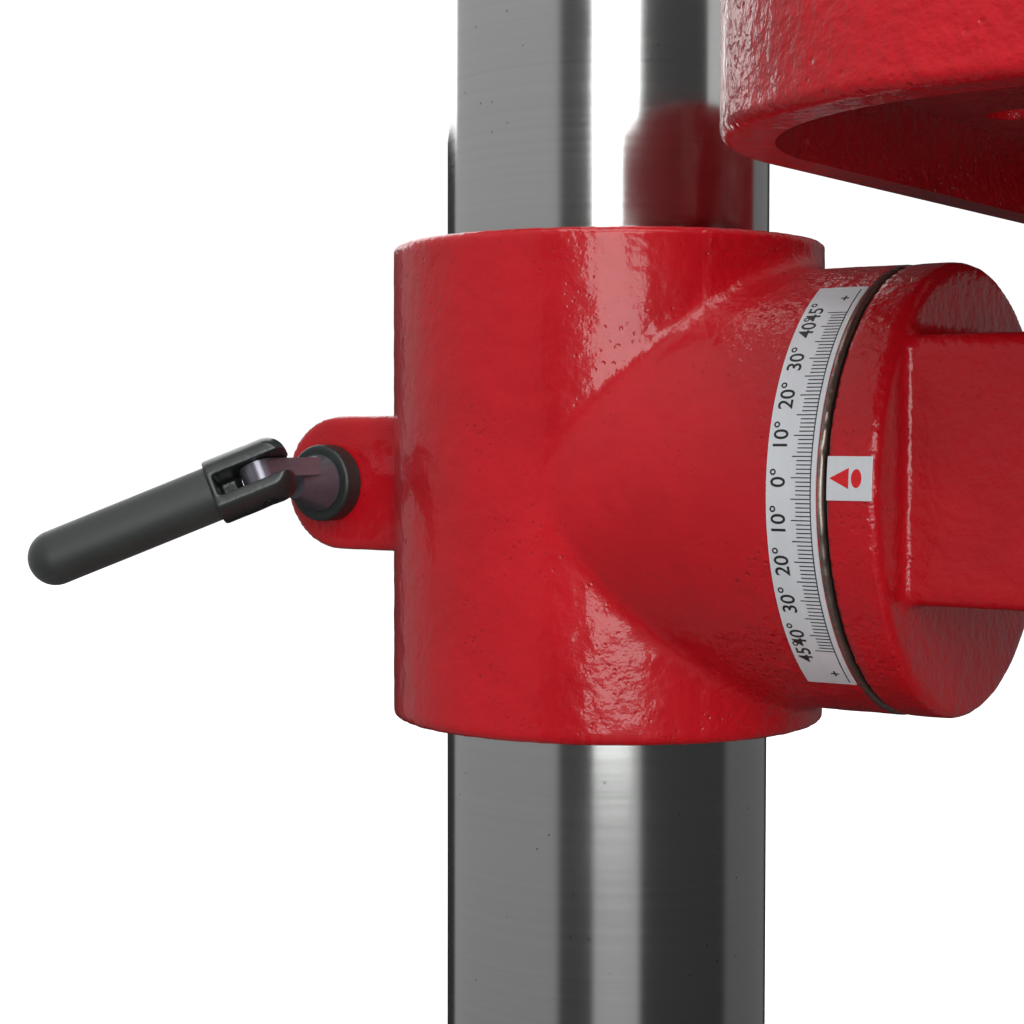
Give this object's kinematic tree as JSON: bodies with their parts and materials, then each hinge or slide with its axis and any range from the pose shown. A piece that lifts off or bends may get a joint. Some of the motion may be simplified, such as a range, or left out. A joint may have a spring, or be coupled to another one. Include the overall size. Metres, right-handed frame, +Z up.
{
  "type": "drill press",
  "caption": "Bench pillar drilling machine with a cast base, steel column, rack-lifted tilting square table, quill feed, belt-driven spindle and keyed chuck.",
  "frame": {"origin": "centre of the four bench bolt holes, on the underside of the base", "axes": "+Z up along the column, -Y towards the operator, +X to the operator's right"},
  "size_m": [0.3146, 0.618, 1.013],
  "materials": {
    "red_enamel": "gloss red enamel over rough casting",
    "ground_steel": "ground, fine rings",
    "bright_steel": "machined",
    "dark_steel": "polished dark",
    "black_oxide": "satin black oxide",
    "lever_black": "satin powder coat",
    "grip_rubber": "matte sleeve",
    "zinc": "zinc plated",
    "scale_plate": "printed foil",
    "cover_paint": "gloss red sheet paint",
    "motor_grey": "satin dark grey",
    "pulley_alloy": "turned",
    "belt_rubber": "matte",
    "black_plastic": "fine texture",
    "knob_plastic": "moulded",
    "stop_red": "moulded",
    "start_green": "moulded"
  },
  "bodies": {
    "frame": {"base": "red_enamel", "column_socket": "red_enamel", "socket_bolts": "zinc", "column": "ground_steel", "rack_collar": "red_enamel", "grub_screws": "black_oxide", "head_casting": "red_enamel", "spring_cap": "black_oxide", "return_spring": "dark_steel", "idler_shaft": "bright_steel", "drive_belts": "belt_rubber", "cover_tray": "cover_paint", "slide_bars": "bright_steel", "motor_plate": "black_oxide", "motor_bolts": "zinc", "motor_body": "motor_grey", "motor_fan_cover": "motor_grey", "cable_gland": "black_plastic", "switch_box": "black_plastic"},
    "rack": {"rack": "black_oxide"},
    "bracket": {"table_bracket": "red_enamel", "lift_pin": "bright_steel", "scale_label": "scale_plate", "clamp_nut": "black_oxide", "tilt_bolt": "black_oxide"},
    "lift_gear": {"lift_gear": "dark_steel"},
    "crank": {"worm_shaft": "bright_steel", "crank_arm": "black_oxide", "crank_spindle": "zinc"},
    "crank_handle": {"crank_handle": "knob_plastic"},
    "clamp_screw": {"clamp_stud": "dark_steel"},
    "clamp_lever": {"lever_fork": "lever_black", "lever_pin": "dark_steel", "lever_grip": "grip_rubber"},
    "arm": {"table_arm": "red_enamel"},
    "table": {"table": "red_enamel"},
    "table_lock": {"table_lock": "zinc"},
    "quill": {"quill": "bright_steel", "quill_bearings": "bright_steel", "stop_ring": "black_oxide", "stop_rod": "zinc"},
    "stop_nuts": {"stop_nuts": "black_oxide"},
    "spindle": {"spindle": "bright_steel", "chuck_body": "bright_steel"},
    "chuck_sleeve": {"chuck_sleeve": "bright_steel"},
    "jaw_1": {"chuck_jaw_1": "dark_steel"},
    "jaw_2": {"chuck_jaw_2": "dark_steel"},
    "jaw_3": {"chuck_jaw_3": "dark_steel"},
    "feed": {"feed_shaft": "bright_steel", "feed_hub": "black_oxide", "feed_handles": "zinc", "feed_knobs": "knob_plastic"},
    "spindle_pulley": {"spindle_pulley": "pulley_alloy"},
    "idler_pulley": {"idler_pulley": "pulley_alloy"},
    "motor_rotor": {"motor_shaft": "bright_steel", "motor_pulley": "pulley_alloy"},
    "lid": {"cover_lid": "cover_paint", "lid_knob": "knob_plastic"},
    "stop_button": {"stop_button": "stop_red"},
    "start_button": {"start_button": "start_green"}
  },
  "joints": [
    {"name": "table_swing", "type": "hinge", "parent": "frame", "child": "rack", "pos_m": [0, 0.14, 0.4], "axis": [0, 0, 1], "range_deg": [-180, 180]},
    {"name": "table_lift", "type": "slide", "parent": "rack", "child": "bracket", "axis": [0, 0, 1], "range_m": [-0.2, 0.055]},
    {"name": "lift_gear_turn", "type": "hinge", "parent": "bracket", "child": "lift_gear", "pos_m": [0.0628, 0.14, 0.4], "axis": [0, 1, 0], "range_deg": [-229.2, 822.6]},
    {"name": "crank_turn", "type": "hinge", "parent": "bracket", "child": "crank", "pos_m": [0.08652, 0.14, 0.423], "axis": [1, 0, 0], "range_deg": [-11516, 3209]},
    {"name": "crank_handle_spin", "type": "hinge", "parent": "crank", "child": "crank_handle", "pos_m": [0.10652, 0.14, 0.363], "axis": [1, 0, 0], "continuous": true},
    {"name": "clamp_turn", "type": "hinge", "parent": "bracket", "child": "clamp_screw", "pos_m": [-0.0211, 0.2115, 0.4], "axis": [-1, 0, 0], "range_deg": [-60, 90]},
    {"name": "lever_fold", "type": "hinge", "parent": "clamp_screw", "child": "clamp_lever", "pos_m": [-0.0501, 0.2115, 0.4025], "axis": [0, 0.4478, 0.8942], "range_deg": [-33, 57]},
    {"name": "table_tilt", "type": "hinge", "parent": "bracket", "child": "arm", "pos_m": [0, 0.05, 0.4], "axis": [0, -1, 0], "range_deg": [-45, 45]},
    {"name": "table_turn", "type": "hinge", "parent": "arm", "child": "table", "pos_m": [0, -0.085, 0.48], "axis": [0, 0, 1], "range_deg": [-180, 180]},
    {"name": "table_lock_turn", "type": "hinge", "parent": "arm", "child": "table_lock", "pos_m": [-0.03, -0.085, 0.408], "axis": [-1, 0, 0], "range_deg": [-180, 180]},
    {"name": "quill_feed", "type": "slide", "parent": "frame", "child": "quill", "axis": [0, 0, -1], "range_m": [0, 0.08], "stiffness_N_per_m": 250, "springref_m": -0.25},
    {"name": "stop_nut_turn", "type": "hinge", "parent": "quill", "child": "stop_nuts", "pos_m": [-0.06, -0.0898, 0.85], "axis": [0, 0, 1], "continuous": true},
    {"name": "feed_turn", "type": "hinge", "parent": "frame", "child": "feed", "pos_m": [0, -0.0413, 0.8], "axis": [1, 0, 0], "range_deg": [-1, 287.5]},
    {"name": "motor_spin", "type": "hinge", "parent": "frame", "child": "motor_rotor", "pos_m": [0, 0.296, 0.93], "axis": [0, 0, 1], "continuous": true},
    {"name": "idler_spin", "type": "hinge", "parent": "frame", "child": "idler_pulley", "pos_m": [0, 0.062, 0.93], "axis": [0, 0, 1], "continuous": true},
    {"name": "spindle_pulley_spin", "type": "hinge", "parent": "frame", "child": "spindle_pulley", "pos_m": [0, -0.085, 0.93], "axis": [0, 0, 1], "continuous": true},
    {"name": "spindle_spin", "type": "hinge", "parent": "quill", "child": "spindle", "pos_m": [0, -0.085, 0.72], "axis": [0, 0, 1], "continuous": true},
    {"name": "chuck_sleeve_turn", "type": "hinge", "parent": "spindle", "child": "chuck_sleeve", "pos_m": [0, -0.085, 0.67], "axis": [0, 0, 1], "range_deg": [-180, 360]},
    {"name": "jaw_1_slide", "type": "slide", "parent": "spindle", "child": "jaw_1", "axis": [0.2756, 0, 0.9613], "range_m": [-0.0066, 0.0034]},
    {"name": "jaw_2_slide", "type": "slide", "parent": "spindle", "child": "jaw_2", "axis": [-0.1378, 0.2387, 0.9613], "range_m": [-0.0066, 0.0034]},
    {"name": "jaw_3_slide", "type": "slide", "parent": "spindle", "child": "jaw_3", "axis": [-0.1378, -0.2387, 0.9613], "range_m": [-0.0066, 0.0034]},
    {"name": "lid_hinge", "type": "hinge", "parent": "frame", "child": "lid", "pos_m": [-0.099, 0.14, 0.919], "axis": [0, -1, 0], "range_deg": [0, 95]},
    {"name": "stop_press", "type": "slide", "parent": "frame", "child": "stop_button", "axis": [0, 1, 0], "range_m": [0, 0.003], "stiffness_N_per_m": 400, "springref_m": -0.002},
    {"name": "start_press", "type": "slide", "parent": "frame", "child": "start_button", "axis": [0, 1, 0], "range_m": [0, 0.003], "stiffness_N_per_m": 400, "springref_m": -0.002}
  ],
  "couplings": [
    {"joint": "lift_gear_turn", "follows": "table_lift", "rad_per_m": -71.429},
    {"joint": "crank_turn", "follows": "table_lift", "rad_per_m": 1000},
    {"joint": "feed_turn", "follows": "quill_feed", "rad_per_m": 62.5},
    {"joint": "idler_spin", "follows": "motor_spin", "ratio": 1.3492},
    {"joint": "spindle_pulley_spin", "follows": "motor_spin", "ratio": 1.6819},
    {"joint": "spindle_spin", "follows": "motor_spin", "ratio": 1.6819},
    {"joint": "jaw_1_slide", "follows": "chuck_sleeve_turn", "m_per_rad": -0.0010345},
    {"joint": "jaw_2_slide", "follows": "chuck_sleeve_turn", "m_per_rad": -0.0010345},
    {"joint": "jaw_3_slide", "follows": "chuck_sleeve_turn", "m_per_rad": -0.0010345}
  ]
}
